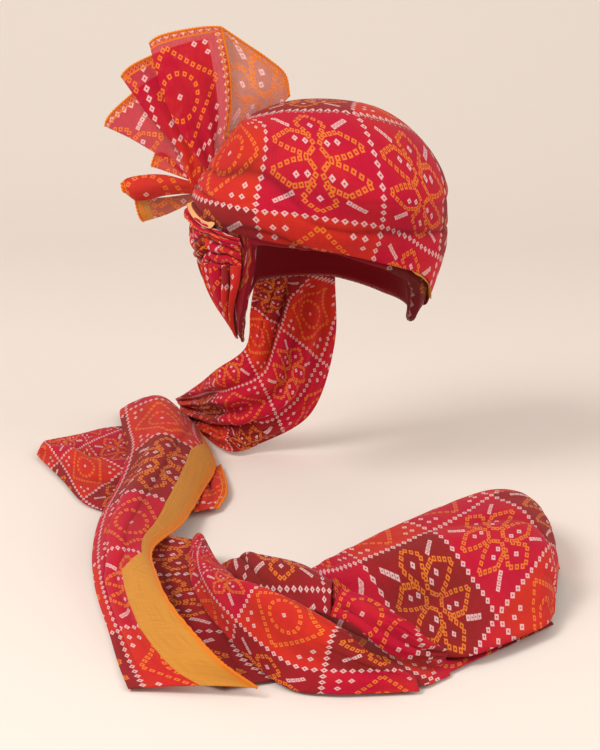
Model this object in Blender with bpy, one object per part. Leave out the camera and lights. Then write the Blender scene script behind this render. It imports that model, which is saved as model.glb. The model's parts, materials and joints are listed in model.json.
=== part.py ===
# Tied turban with a pleated plume and a long tail that hangs behind and lies on the floor.
# Metres, +Z up, +X to the wearer's left (the viewer's right), the wearer faces -Y.
# The origin is the middle of the head hollow, level with the brow.

import bmesh
import bpy
import numpy as np

# Driving sizes
TURBAN_WIDTH = 0.240
TURBAN_DEPTH = 0.236
CROWN_RISE = 0.119
HEAD_WIDTH = 0.152
HEAD_DEPTH = 0.182
HEAD_RISE = 0.098
CLOTH = 0.002
FIT = 0.0004
WRAP_FIT = 0.0008
FLOOR_DROP = 0.250
PLUME_RISE = 0.190
FOLD_PROUD = 0.006
TAIL_SPAN = 0.460
PUFF_RISE = 0.070
PLAN_SQUARE = 2.2
HOLLOW_SQUARE = 2.4
JAW_TAPER = 0.2
RIB_EDGE = 0.2
RIB_ROUND = 0.6
FAN_SLIT = 0.012
BORDER_SLIT = 0.004

# Outline of the turban from the top of the crown down.
# height is a share of CROWN_RISE, right and left of half TURBAN_WIDTH, front and back of half TURBAN_DEPTH.
OUTLINE = (
    # height, right, left, front, back
    (1.000, 0.000, 0.000, 0.000, 0.000),
    (0.992, 0.200, 0.180, 0.220, 0.220),
    (0.940, 0.450, 0.380, 0.470, 0.480),
    (0.820, 0.665, 0.600, 0.710, 0.720),
    (0.620, 0.860, 0.760, 0.890, 0.905),
    (0.390, 0.975, 0.905, 0.990, 1.000),
    (0.235, 0.995, 0.975, 0.985, 1.020),
    (0.075, 1.005, 0.960, 0.925, 1.015),
    (-0.025, 0.995, 0.950, 0.845, 0.990),
    (-0.160, 0.980, 0.930, 0.825, 0.960),
    (-0.350, 0.925, 0.865, 0.815, 0.915),
    (-0.560, 0.850, 0.760, 0.800, 0.860),
    (-0.680, 0.780, 0.700, 0.790, 0.820),
    (-0.900, 0.690, 0.600, 0.760, 0.760),
)

# Lower edge of the outer cloth and of the under layers around the turban.
# turn is in degrees from +X through the back, height a share of CROWN_RISE.
CROWN_RIM = (
    (0, -0.600), (15, -0.600), (45, -0.570), (80, -0.490), (135, -0.490), (144, -0.270), (153, -0.020),
    (161, 0.235), (180, 0.240), (198, 0.205), (212, 0.143), (225, 0.110), (243, 0.067), (262, 0.020),
    (282, -0.034), (306, -0.134), (325, -0.235), (334, -0.320), (344, -0.470), (352, -0.560), (360, -0.600),
)
WRAP_RIM = (
    (0, -0.620), (15, -0.605), (45, -0.580), (80, -0.500), (130, -0.500), (150, -0.700), (160, -0.800),
    (172, -0.850), (181, -0.850), (196, -0.840), (210, -0.690), (222, -0.500), (230, -0.250), (235, 0.060),
    (243, 0.067), (262, 0.020), (282, -0.034), (306, -0.134), (325, -0.250), (335, -0.380), (345, -0.620),
    (352, -0.665), (360, -0.620),
)

# Gathered side. turn is in degrees from the left side toward the face, height a share of CROWN_RISE,
# proud a share of FOLD_PROUD. Each row gives the upper or left edge, then the lower or right edge.
SIDE_ROLLS = {
    "side_roll_1": ((-18, 0.190, -18, 0.100, 0.8), (0, 0.205, 0, 0.100, 1.0), (26, 0.160, 26, 0.090, 0.9),
                    (52, 0.068, 51, 0.030, 0.6)),
    "side_roll_2": ((9, 0.080, 9, -0.185, 0.7), (18, 0.080, 18, -0.175, 1.0), (27, 0.072, 27, -0.165, 0.8)),
    "side_roll_3": ((29, 0.068, 29, -0.160, 0.9), (39, 0.045, 39, -0.145, 1.0), (50, 0.015, 49, -0.130, 0.6)),
    "side_roll_4": ((-17, 0.085, -17, -0.220, 0.8), (-6, 0.085, -6, -0.205, 1.0), (7, 0.082, 7, -0.190, 0.8)),
}
SIDE_FAN = (
    # left turn, left height, right turn, right height, proud
    (-17, -0.245, 50, -0.150, 0.8),
    (-16, -0.400, 47, -0.310, 1.0),
    (-14, -0.570, 39, -0.500, 1.0),
    (-8, -0.720, 28, -0.680, 0.8),
    (0, -0.830, 15, -0.830, 0.5),
)
SIDE_FAN_SHARES = (0.0, 0.28, 0.54, 0.80, 1.0)

# Plume. Right edge then left edge of each pleat from the root to the hem, as shares of PLUME_RISE,
# and how far the middle of the pleat bows toward the viewer.
PLUME = {
    "plume_tab": (
        # right x, right y, right z, left x, left y, left z, bow
        (-0.616, 0.172, 0.150, -0.616, 0.172, 0.108, 0.004),
        (-0.779, 0.190, 0.128, -0.753, 0.190, 0.042, 0.010),
        (-0.900, 0.200, 0.132, -0.868, 0.200, 0.005, 0.016),
    ),
    "plume_loop": (
        (-0.638, 0.099, 0.228, -0.632, 0.115, 0.160, 0.012),
        (-0.747, 0.130, 0.250, -0.737, 0.130, 0.150, 0.036),
        (-0.847, 0.140, 0.249, -0.832, 0.140, 0.128, 0.042),
        (-0.932, 0.145, 0.232, -0.895, 0.145, 0.122, 0.036),
        (-0.963, 0.150, 0.208, -0.953, 0.150, 0.163, 0.010),
    ),
    "plume_corner": (
        (-0.639, 0.1045, 0.260, -0.636, 0.1055, 0.232, 0.002),
        (-0.747, 0.150, 0.352, -0.753, 0.150, 0.268, 0.006),
        (-0.795, 0.170, 0.347, -0.816, 0.170, 0.284, 0.006),
    ),
    "plume_pleat_left": (
        (-0.572, 0.088, 0.310, -0.640, 0.091, 0.240, 0.010),
        (-0.600, 0.116, 0.421, -0.747, 0.116, 0.326, 0.030),
        (-0.658, 0.150, 0.574, -0.905, 0.150, 0.421, 0.042),
        (-0.747, 0.170, 0.737, -1.053, 0.170, 0.489, 0.030),
    ),
    "plume_pleat_middle": (
        (-0.520, 0.056, 0.395, -0.628, 0.060, 0.242, 0.008),
        (-0.505, 0.072, 0.547, -0.679, 0.074, 0.379, 0.028),
        (-0.579, 0.092, 0.726, -0.811, 0.092, 0.532, 0.040),
        (-0.647, 0.105, 0.868, -0.958, 0.105, 0.742, 0.030),
    ),
    "plume_pleat_tall": (
        (-0.432, 0.036, 0.462, -0.563, 0.036, 0.320, 0.006),
        (-0.416, 0.032, 0.626, -0.647, 0.032, 0.442, 0.024),
        (-0.426, 0.026, 0.805, -0.742, 0.026, 0.647, 0.040),
        (-0.458, 0.020, 0.968, -0.805, 0.020, 0.905, 0.036),
    ),
    "plume_wing": (
        # here the rows are spokes of the fan: hem end, then root end
        (-0.456, 0.066, 0.962, -0.426, 0.060, 0.465, 0.006),
        (-0.342, 0.079, 0.884, -0.409, 0.070, 0.492, 0.010),
        (-0.237, 0.095, 0.811, -0.374, 0.084, 0.524, 0.014),
        (-0.158, 0.111, 0.737, -0.318, 0.100, 0.568, 0.012),
        (-0.137, 0.121, 0.632, -0.234, 0.111, 0.606, 0.004),
    ),
}

# Tail. Left edge then right edge along each piece: x and y as shares of TAIL_SPAN,
# heights over the floor and the puff between the edges as shares of PUFF_RISE.
TAIL = {
    "tail_root": (
        # left x, left y, left height, right x, right y, right height, puff
        (-0.130, 0.186, 2.708, 0.040, 0.222, 2.690, 0.00),
        (-0.143, 0.238, 2.150, 0.040, 0.262, 1.600, 0.12),
        (-0.154, 0.235, 1.600, -0.010, 0.250, 0.600, 0.22),
        (-0.219, 0.240, 1.260, -0.120, 0.243, 0.150, 0.22),
        (-0.263, 0.387, 0.800, -0.190, 0.215, 0.080, 0.10),
        (-0.306, 0.465, 0.480, -0.261, 0.365, 0.060, 0.06),
        (-0.336, 0.605, 0.160, -0.303, 0.525, 0.050, 0.03),
    ),
    "tail_flap": (
        (-0.613, 0.198, 0.06, -0.607, 0.289, 0.09, 0.03),
        (-0.535, 0.028, 0.04, -0.533, 0.315, 0.14, 0.11),
        (-0.470, -0.122, 0.04, -0.478, 0.358, 0.155, 0.09),
        (-0.410, -0.200, 0.05, -0.435, 0.400, 0.147, 0.04),
    ),
    "tail_side_flap": (
        (-0.254, 0.035, 0.09, -0.206, 0.117, 0.075, 0.01),
        (-0.250, -0.109, 0.127, -0.186, -0.059, 0.095, 0.02),
        (-0.245, -0.213, 0.125, -0.199, -0.165, 0.07, 0.01),
    ),
    "tail_inner": (
        (-0.310, -0.420, 0.285, -0.236, -0.440, 0.275, 0.02),
        (-0.310, -0.600, 0.20, -0.222, -0.600, 0.266, 0.02),
        (-0.275, -0.800, 0.14, -0.180, -0.770, 0.18, 0.02),
        (-0.220, -0.935, 0.09, -0.138, -0.905, 0.10, 0.02),
        (-0.150, -1.000, 0.04, -0.090, -0.985, 0.04, 0.01),
    ),
    "tail_front": (
        (-0.233, -0.452, 0.31, -0.213, -0.448, 0.36, 0.06),
        (-0.233, -0.543, 0.30, -0.178, -0.615, 0.43, 0.11),
        (-0.222, -0.654, 0.28, -0.143, -0.728, 0.49, 0.20),
        (-0.191, -0.765, 0.24, -0.122, -0.828, 0.63, 0.26),
        (-0.152, -0.865, 0.22, -0.087, -0.870, 0.71, 0.29),
        (-0.109, -0.943, 0.14, -0.041, -0.915, 0.74, 0.29),
        (-0.050, -1.004, 0.04, -0.002, -0.961, 0.71, 0.26),
        (0.011, -1.022, 0.04, 0.035, -0.993, 0.63, 0.17),
        (0.072, -1.020, 0.04, 0.074, -1.007, 0.43, 0.09),
        (0.148, -1.012, 0.04, 0.142, -0.985, 0.12, 0.01),
    ),
    "tail_back_fold": (
        (-0.173, -0.610, 0.38, -0.150, -0.560, 0.06, 0.12),
        (-0.142, -0.722, 0.45, -0.115, -0.600, 0.04, 0.40),
        (-0.088, -0.845, 0.62, -0.068, -0.610, 0.04, 0.46),
        (-0.038, -0.895, 0.66, -0.020, -0.650, 0.04, 0.46),
        (0.012, -0.935, 0.64, 0.022, -0.740, 0.04, 0.44),
    ),
    "tail_cross_flap": (
        (0.012, -0.937, 0.65, 0.030, -0.895, 0.84, 0.03),
        (0.045, -0.968, 0.65, 0.076, -0.930, 0.82, 0.07),
        (0.075, -0.978, 0.50, 0.111, -0.955, 0.72, 0.09),
        (0.100, -0.976, 0.36, 0.137, -0.955, 0.62, 0.09),
        (0.143, -0.960, 0.22, 0.165, -0.948, 0.42, 0.06),
        (0.193, -0.935, 0.17, 0.202, -0.925, 0.23, 0.01),
    ),
    "tail_end": (
        (-0.030, -0.582, 0.06, -0.020, -0.440, 0.04, 0.30),
        (0.050, -0.803, 0.09, 0.050, -0.450, 0.04, 0.52),
        (0.111, -0.876, 0.09, 0.120, -0.385, 0.04, 0.66),
        (0.172, -0.899, 0.10, 0.193, -0.300, 0.04, 0.75),
        (0.230, -0.911, 0.13, 0.270, -0.210, 0.04, 0.80),
        (0.287, -0.874, 0.15, 0.345, -0.150, 0.04, 0.80),
        (0.337, -0.828, 0.15, 0.403, -0.170, 0.04, 0.74),
        (0.372, -0.791, 0.15, 0.436, -0.300, 0.04, 0.55),
        (0.393, -0.733, 0.14, 0.435, -0.500, 0.06, 0.20),
    ),
    "tail_under": (
        (0.160, -0.992, 0.04, 0.153, -0.890, 0.05, 0.02),
        (0.191, -0.950, 0.04, 0.183, -0.870, 0.05, 0.02),
        (0.243, -0.896, 0.04, 0.233, -0.840, 0.05, 0.02),
        (0.298, -0.843, 0.04, 0.291, -0.790, 0.05, 0.02),
        (0.348, -0.791, 0.04, 0.340, -0.740, 0.05, 0.01),
        (0.390, -0.748, 0.04, 0.380, -0.711, 0.05, 0.01),
    ),
}

# The over fold has the gold border along its right edge: the last column is where the border starts.
TAIL_OVER = (
    (-0.462, 0.575, 0.06, -0.345, 0.570, 0.06, 0.06, 0.97),
    (-0.457, 0.470, 0.17, -0.280, 0.385, 0.18, 0.34, 0.96),
    (-0.430, 0.289, 0.18, -0.226, 0.141, 0.17, 0.43, 0.78),
    (-0.409, 0.135, 0.18, -0.217, 0.050, 0.14, 0.46, 0.66),
    (-0.411, -0.065, 0.14, -0.233, -0.098, 0.17, 0.43, 0.62),
    (-0.426, -0.250, 0.11, -0.259, -0.335, 0.26, 0.37, 0.66),
    (-0.420, -0.422, 0.09, -0.298, -0.546, 0.43, 0.26, 0.74),
    (-0.402, -0.559, 0.07, -0.276, -0.717, 0.51, 0.17, 0.48),
    (-0.380, -0.670, 0.07, -0.246, -0.843, 0.54, 0.11, 0.44),
    (-0.350, -0.796, 0.06, -0.202, -0.952, 0.51, 0.09, 0.41),
    (-0.324, -0.911, 0.04, -0.154, -1.020, 0.37, 0.06, 0.48),
    (-0.300, -1.002, 0.04, -0.100, -1.030, 0.13, 0.03, 0.55),
)

# Surface colours as linear shares of red, green and blue
CRIMSON = (0.58, 0.012, 0.035, 1.0)
MAROON = (0.24, 0.014, 0.014, 1.0)
GOLD = (0.76, 0.36, 0.06, 1.0)
CLOTH_ROUGHNESS = 0.85


def smooth(table, where):
    """Rows of the table at the given row numbers, on a curve that passes through every row."""
    rows = np.asarray(table, float)
    rows = np.vstack([2 * rows[0] - rows[1], rows, 2 * rows[-1] - rows[-2]])
    first = np.clip(np.floor(where).astype(int), 0, len(rows) - 4)
    t = (np.asarray(where, float) - first)[..., None]
    a, b, c, d = rows[first], rows[first + 1], rows[first + 2], rows[first + 3]
    return b + 0.5 * t * (c - a + t * (2 * a - 5 * b + 4 * c - d + t * (3 * (b - c) + d - a)))


def rim_height(rim, turn):
    """Height of a lower edge at a turn in degrees."""
    turns, heights = np.transpose(rim)
    return np.interp(turn, turns, heights) * CROWN_RISE


def row_at_height(height):
    """Row number of the outline at a height."""
    where = np.linspace(0.0, len(OUTLINE) - 1.0, 400)
    heights = smooth(OUTLINE, where)[:, 0] * CROWN_RISE
    return np.interp(-np.asarray(height), -heights, where)


def on_turban(turn, where, inset):
    """Point of the turban's outline at a turn and an outline row, moved inward by the inset."""
    row = smooth(OUTLINE, where)
    angle = np.radians(turn)
    across, along = np.cos(angle), np.sin(angle)
    half_width = TURBAN_WIDTH / 2 * np.where(across > 0, row[..., 1], row[..., 2])
    half_depth = TURBAN_DEPTH / 2 * np.where(along < 0, row[..., 3], row[..., 4])
    half_width = half_width * (1 - 2 * inset / TURBAN_WIDTH) + 1e-9
    half_depth = half_depth * (1 - 2 * inset / TURBAN_DEPTH) + 1e-9
    reach = (np.abs(across) / half_width) ** PLAN_SQUARE + (np.abs(along) / half_depth) ** PLAN_SQUARE
    radius = reach ** (-1 / PLAN_SQUARE)
    height = row[..., 0] * CROWN_RISE
    height = height - inset * np.clip(height / CROWN_RISE, 0.0, 1.0)
    return np.stack([radius * across, radius * along, height], axis=-1)


def on_hollow(turn, share, rim):
    """Point of the head hollow: walls that narrow downward, closed by a rounded top."""
    angle = np.radians(turn)
    height = rim + (HEAD_RISE - rim) * share
    up = np.clip(height / HEAD_RISE, 0.0, 1.0)
    down = np.clip(-height / CROWN_RISE, 0.0, 1.0)
    reach = np.sqrt(np.clip(1 - up ** HOLLOW_SQUARE, 0.0, 1.0)) * (1 - JAW_TAPER * down ** 1.5)
    x = HEAD_WIDTH / 2 * reach * np.cos(angle)
    y = HEAD_DEPTH / 2 * reach * np.sin(angle)
    return np.stack([x, y, height], axis=-1)


def strip(rows, along, across, bow_direction, left=0.0, right=1.0):
    """Middle surface between two edges given by rows, bowed between the edges."""
    where = np.linspace(0.0, len(rows) - 1.0, along)
    row = smooth(rows, where)[:, None, :]
    left, right = np.broadcast_to(left, along)[:, None], np.broadcast_to(right, along)[:, None]
    share = (left + (right - left) * np.linspace(0.0, 1.0, across)[None, :])[..., None]
    chord = row[..., 0:3] * (1 - share) + row[..., 3:6] * share
    return chord + row[..., 6:7] * (1 - (2 * share - 1) ** 2) * np.asarray(bow_direction)


def both_sides(middle, thickness):
    """The two faces of a cloth with the given middle surface."""
    along = np.gradient(middle, axis=0)
    across = np.gradient(middle, axis=1)
    normal = np.cross(along, across)
    normal /= np.linalg.norm(normal, axis=-1, keepdims=True)
    return middle + normal * thickness / 2, middle - normal * thickness / 2


def paint(name, colour):
    """Cloth material of one colour."""
    material = bpy.data.materials.new(name)
    material.use_nodes = True
    shader = material.node_tree.nodes["Principled BSDF"]
    shader.inputs["Base Color"].default_value = colour
    shader.inputs["Roughness"].default_value = CLOTH_ROUGHNESS
    shader.inputs["Metallic"].default_value = 0.0
    material.diffuse_color = colour
    return material


def solid(name, face_a, face_b, colour, around=False):
    """Closed body between two point grids, open sheets or, with around, closed rings with a pole."""
    rows, columns = face_a.shape[:2]
    steps = columns if around else columns - 1
    points = np.concatenate([face_a.reshape(-1, 3), face_b.reshape(-1, 3)])
    shift = rows * columns
    faces = []
    for i in range(rows - 1):
        for j in range(steps):
            k = (j + 1) % columns
            corners = (i * columns + j, i * columns + k, (i + 1) * columns + k, (i + 1) * columns + j)
            faces.append(corners)
            faces.append(tuple(shift + c for c in reversed(corners)))
    border = list(range(columns))
    if not around:
        border += [i * columns + columns - 1 for i in range(1, rows)]
        border += [(rows - 1) * columns + j for j in range(columns - 2, -1, -1)]
        border += [i * columns for i in range(rows - 2, 0, -1)]
    for a, b in zip(border, border[1:] + border[:1]):
        faces.append((b, a, shift + a, shift + b))
    mesh = bpy.data.meshes.new(name)
    mesh.from_pydata(points.tolist(), [], faces)
    body = bmesh.new()
    body.from_mesh(mesh)
    bmesh.ops.remove_doubles(body, verts=body.verts, dist=1e-6)
    bmesh.ops.dissolve_degenerate(body, edges=body.edges, dist=1e-6)
    bmesh.ops.triangulate(body, faces=body.faces)
    bmesh.ops.recalc_face_normals(body, faces=body.faces)
    body.to_mesh(mesh)
    body.free()
    mesh.materials.append(paint(name, colour))
    piece = bpy.data.objects.new(name, mesh)
    bpy.context.collection.objects.link(piece)
    return piece


def turban_wraps(turns=40, rings=10):
    """The wound under layers with the head hollow, and the outer cloth over them."""
    turn = (np.arange(turns) * 360.0 / turns)[None, :]
    share = np.linspace(0.0, 1.0, rings)[:, None]
    crown_rim = rim_height(CROWN_RIM, turn)
    rim_row = row_at_height(crown_rim)
    rows_up = rim_row * (1 - share)
    where = np.concatenate([rim_row, (rim_row + rows_up[1:2]) / 2, rows_up[1:]])
    over = on_turban(turn, where, 0.0)
    under = on_turban(turn, where, CLOTH)
    solid("crown_swath", over, under, CRIMSON, around=True)
    wrap_rim = np.minimum(rim_height(WRAP_RIM, turn), crown_rim)
    rim_row = row_at_height(wrap_rim)
    where = np.concatenate([rim_row, (rim_row + rows_up[1:2]) / 2, rows_up[1:]])
    outer = on_turban(turn, where, CLOTH + WRAP_FIT)
    share = np.linspace(0.0, 1.0, rings + 1)[:, None]
    inner = on_hollow(turn, np.sin(share * np.pi / 2), wrap_rim)
    solid("under_wrap", outer, inner, MAROON, around=True)


def side_rib(name, rows, left, right, colour, along=7, across=6):
    """Padded fold that lies on the under layers."""
    row = smooth(rows, np.linspace(0.0, len(rows) - 1.0, along))[:, None, :]
    share = (left + (right - left) * np.linspace(0.0, 1.0, across))[None, :]
    turn = 180.0 + row[..., 0] * (1 - share) + row[..., 2] * share
    height = (row[..., 1] * (1 - share) + row[..., 3] * share) * CROWN_RISE
    where = row_at_height(height)
    round_over = np.sin(np.pi * np.linspace(0.0, 1.0, across))[None, :].clip(0.0) ** RIB_ROUND
    proud = row[..., 4] * FOLD_PROUD * (RIB_EDGE + (1 - RIB_EDGE) * round_over)
    base = on_turban(turn, where, CLOTH - FIT / 2)
    top = on_turban(turn, where, CLOTH - FIT / 2 - proud)
    solid(name, top, base, colour)


def side_gathers():
    """The short rolls and the long folds at the left side."""
    for name, rows in SIDE_ROLLS.items():
        side_rib(name, rows, 0.0, 1.0, CRIMSON)
    edges = zip(SIDE_FAN_SHARES, SIDE_FAN_SHARES[1:])
    for number, (left, right) in enumerate(edges, start=1):
        side_rib(f"side_fold_{number}", SIDE_FAN, left + FAN_SLIT, right - FAN_SLIT, CRIMSON)


def plume():
    """The fan of pleats at the left shoulder of the crown."""
    for name, rows in PLUME.items():
        middle = strip(np.asarray(rows) * PLUME_RISE, 8, 7, (0.0, -1.0, 0.0))
        colour = MAROON if name in ("plume_tab", "plume_wing") else CRIMSON
        solid(name, *both_sides(middle, CLOTH), colour)


def tail():
    """The free end: every piece is bowed up from the floor between its two edges."""
    scale = np.array([TAIL_SPAN, TAIL_SPAN, PUFF_RISE, TAIL_SPAN, TAIL_SPAN, PUFF_RISE, PUFF_RISE])
    floor = np.array([0.0, 0.0, FLOOR_DROP, 0.0, 0.0, FLOOR_DROP, 0.0])
    for name, rows in TAIL.items():
        bow = (0.0, -1.0, 0.0) if name == "tail_root" else (0.0, 0.0, 1.0)
        middle = strip(np.asarray(rows) * scale - floor, 2 * len(rows) - 1, 9, bow)
        colour = MAROON if name in ("tail_inner", "tail_back_fold") else CRIMSON
        solid(name, *both_sides(middle, CLOTH), colour)
    rows = np.asarray(TAIL_OVER)
    along = 2 * len(rows) - 1
    start = smooth(rows[:, 7:8], np.linspace(0.0, len(rows) - 1.0, along))[:, 0]
    placed = rows[:, :7] * scale - floor
    over = strip(placed, along, 8, (0.0, 0.0, 1.0), 0.0, start - BORDER_SLIT)
    border = strip(placed, along, 4, (0.0, 0.0, 1.0), start + BORDER_SLIT, 1.0)
    solid("tail_over", *both_sides(over, CLOTH), CRIMSON)
    solid("tail_border", *both_sides(border, CLOTH), GOLD)


for old in list(bpy.data.objects):
    bpy.data.objects.remove(old, do_unlink=True)
turban_wraps()
side_gathers()
plume()
tail()
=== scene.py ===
import json
import math

import bmesh
import bpy
import numpy as np
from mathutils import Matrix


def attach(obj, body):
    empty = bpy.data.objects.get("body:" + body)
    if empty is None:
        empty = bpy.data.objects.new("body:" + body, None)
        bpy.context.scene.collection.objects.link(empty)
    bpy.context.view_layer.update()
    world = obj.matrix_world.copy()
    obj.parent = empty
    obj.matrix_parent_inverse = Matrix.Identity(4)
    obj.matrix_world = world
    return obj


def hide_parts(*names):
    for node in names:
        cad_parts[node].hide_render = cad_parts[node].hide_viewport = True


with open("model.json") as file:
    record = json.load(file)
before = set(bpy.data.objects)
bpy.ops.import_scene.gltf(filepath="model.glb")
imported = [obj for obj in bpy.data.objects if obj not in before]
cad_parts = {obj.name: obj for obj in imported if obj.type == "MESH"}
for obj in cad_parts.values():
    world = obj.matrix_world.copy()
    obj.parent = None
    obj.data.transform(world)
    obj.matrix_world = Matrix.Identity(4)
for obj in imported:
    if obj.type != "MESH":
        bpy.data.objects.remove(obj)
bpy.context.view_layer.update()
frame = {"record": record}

# Driving sizes of the turban and of its tail, as in the part
TURBAN_WIDTH = 0.240
TURBAN_DEPTH = 0.236
CROWN_RISE = 0.119
HEAD_WIDTH = 0.152
HEAD_DEPTH = 0.182
HEAD_RISE = 0.098
FLOOR_DROP = 0.250
PLUME_RISE = 0.190
FOLD_PROUD = 0.006
TAIL_SPAN = 0.460
PUFF_RISE = 0.070
PLAN_SQUARE = 2.2
HOLLOW_SQUARE = 2.4
JAW_TAPER = 0.2
CLOTH = 0.002
WRAP_FIT = 0.0008
FAN_SLIT = 0.012

# Finish of the cloth: size of a printed cell, thickness of a sheet and of a starched pleat, width of a hem, and the
# distance from a hem that is given where there is none
CELL = 0.110
SHEET = 0.0008
PLEAT_SHEET = 0.0004
HEM = 0.0055
NO_HEM = 0.09
# Stitched cord round a hem: its radius, its sides, and how far and how often it swells
HEM_CORD = 0.0011
CORD_SIDES = 6
CORD_SWELL = 0.28
STITCH = 0.0032

# Points of the grids: around the crown, and along and across each kind of piece
RING_TURNS = 240
SIDE_GRID = (84, 64)
PLEAT_GRID = (84, 60)
TAIL_GRID = (110, 64)
OVER_ROWS, OVER_COLUMNS, BAND_COLUMNS = 220, 64, 32
# How much painted shade darkens the colour where the shade is deepest, for each kind of piece: in valleys, and evenly
# over the under layers
PAINTED_SHADE = {"crown": 0.50, "under": 0.55, "side": 0.78, "tail": 0.42}
# The visible part of the crown's cloth, laid flat, and the turns between which its print follows the front
FRONT_TURNS = (188, 367)
# The wound layers: cells of the print around them and the turn of each, then the rim's thinning and how far up it
# reaches, its bulge, and the number of layers that show in it and how far each stands out
WRAP_CELLS, CELL_TURN = 7.0, 51.4
RIM_THIN, RIM_REACH, RIM_BULGE, RIM_LAYERS, LAYER_STEP = 0.62, 0.16, 0.009, 5, 0.0008

OUTLINE = (
    # height, right, left, front, back
    (1.0, 0.0, 0.0, 0.0, 0.0),
    (0.992, 0.2, 0.18, 0.22, 0.22),
    (0.94, 0.45, 0.38, 0.47, 0.48),
    (0.82, 0.665, 0.6, 0.71, 0.72),
    (0.62, 0.86, 0.76, 0.89, 0.905),
    (0.39, 0.975, 0.905, 0.99, 1.0),
    (0.235, 0.995, 0.975, 0.985, 1.02),
    (0.075, 1.005, 0.96, 0.925, 1.015),
    (-0.025, 0.995, 0.95, 0.845, 0.99),
    (-0.16, 0.98, 0.93, 0.825, 0.96),
    (-0.35, 0.925, 0.865, 0.815, 0.915),
    (-0.56, 0.85, 0.76, 0.8, 0.86),
    (-0.68, 0.78, 0.7, 0.79, 0.82),
    (-0.9, 0.69, 0.6, 0.76, 0.76),
)
CROWN_RIM = (
    # turn, height
    (0, -0.6), (15, -0.6), (45, -0.57), (80, -0.49), (135, -0.49), (144, -0.27), (153, -0.02),
    (161, 0.235), (180, 0.24), (198, 0.205), (212, 0.143), (225, 0.11), (243, 0.067), (262, 0.02),
    (282, -0.034), (306, -0.134), (325, -0.235), (334, -0.32), (344, -0.47), (352, -0.56), (360, -0.6),
)
WRAP_RIM = (
    # turn, height
    (0, -0.62), (15, -0.605), (45, -0.58), (80, -0.5), (130, -0.5), (150, -0.7), (160, -0.8),
    (172, -0.85), (181, -0.85), (196, -0.84), (210, -0.69), (222, -0.5), (230, -0.25), (235, 0.06),
    (243, 0.067), (262, 0.02), (282, -0.034), (306, -0.134), (325, -0.25), (335, -0.38), (345, -0.62),
    (352, -0.665), (360, -0.62),
)
SIDE_ROLLS = {
    # upper turn, upper height, lower turn, lower height, proud
    "side_roll_1": ((-18, 0.19, -18, 0.1, 0.8), (0, 0.205, 0, 0.1, 1.0), (26, 0.16, 26, 0.09, 0.9),
                    (52, 0.068, 51, 0.03, 0.6)),
    "side_roll_2": ((9, 0.08, 9, -0.185, 0.7), (18, 0.08, 18, -0.175, 1.0), (27, 0.072, 27, -0.165, 0.8)),
    "side_roll_3": ((29, 0.068, 29, -0.16, 0.9), (39, 0.045, 39, -0.145, 1.0), (50, 0.015, 49, -0.13, 0.6)),
    "side_roll_4": ((-17, 0.085, -17, -0.22, 0.8), (-6, 0.085, -6, -0.205, 1.0), (7, 0.082, 7, -0.19, 0.8)),
}
SIDE_FAN = (
    # left turn, left height, right turn, right height, proud
    (-17, -0.245, 50, -0.15, 0.8),
    (-16, -0.4, 47, -0.31, 1.0),
    (-14, -0.57, 39, -0.5, 1.0),
    (-8, -0.72, 28, -0.68, 0.8),
    (0, -0.83, 15, -0.83, 0.5),
)
SIDE_FAN_SHARES = (0.0, 0.28, 0.54, 0.8, 1.0)

# Pattern lines of the printed cloth on the crown. turn in degrees from +X through the back, height in metres.
LOW_LINE = ((0, -0.028), (30, -0.034), (90, -0.03), (150, 0.01), (190, 0.037), (225, 0.038), (243, 0.036),
            (258, 0.035), (274, 0.03), (291, 0.024), (299, 0.02), (313, 0.008), (330, -0.01), (345, -0.022),
            (360, -0.028))
TOP_LINE = ((0, 0.09), (40, 0.088), (90, 0.092), (140, 0.1), (188, 0.103), (216, 0.11), (232, 0.1135),
            (263, 0.1145), (291, 0.114), (306, 0.111), (321, 0.107), (342, 0.099), (360, 0.09))
# Turns at which a column of cells begins, along the low line and along the top line
COLUMNS = (
    # column, low turn, top turn
    (-4, 32, 45), (-3, 82, 85), (-2, 134, 125), (-1, 186, 155), (0, 243, 190), (1, 298, 306), (2, 338, 365),
    (3, 392, 405), (4, 442, 445), (5, 494, 485),
)

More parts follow.
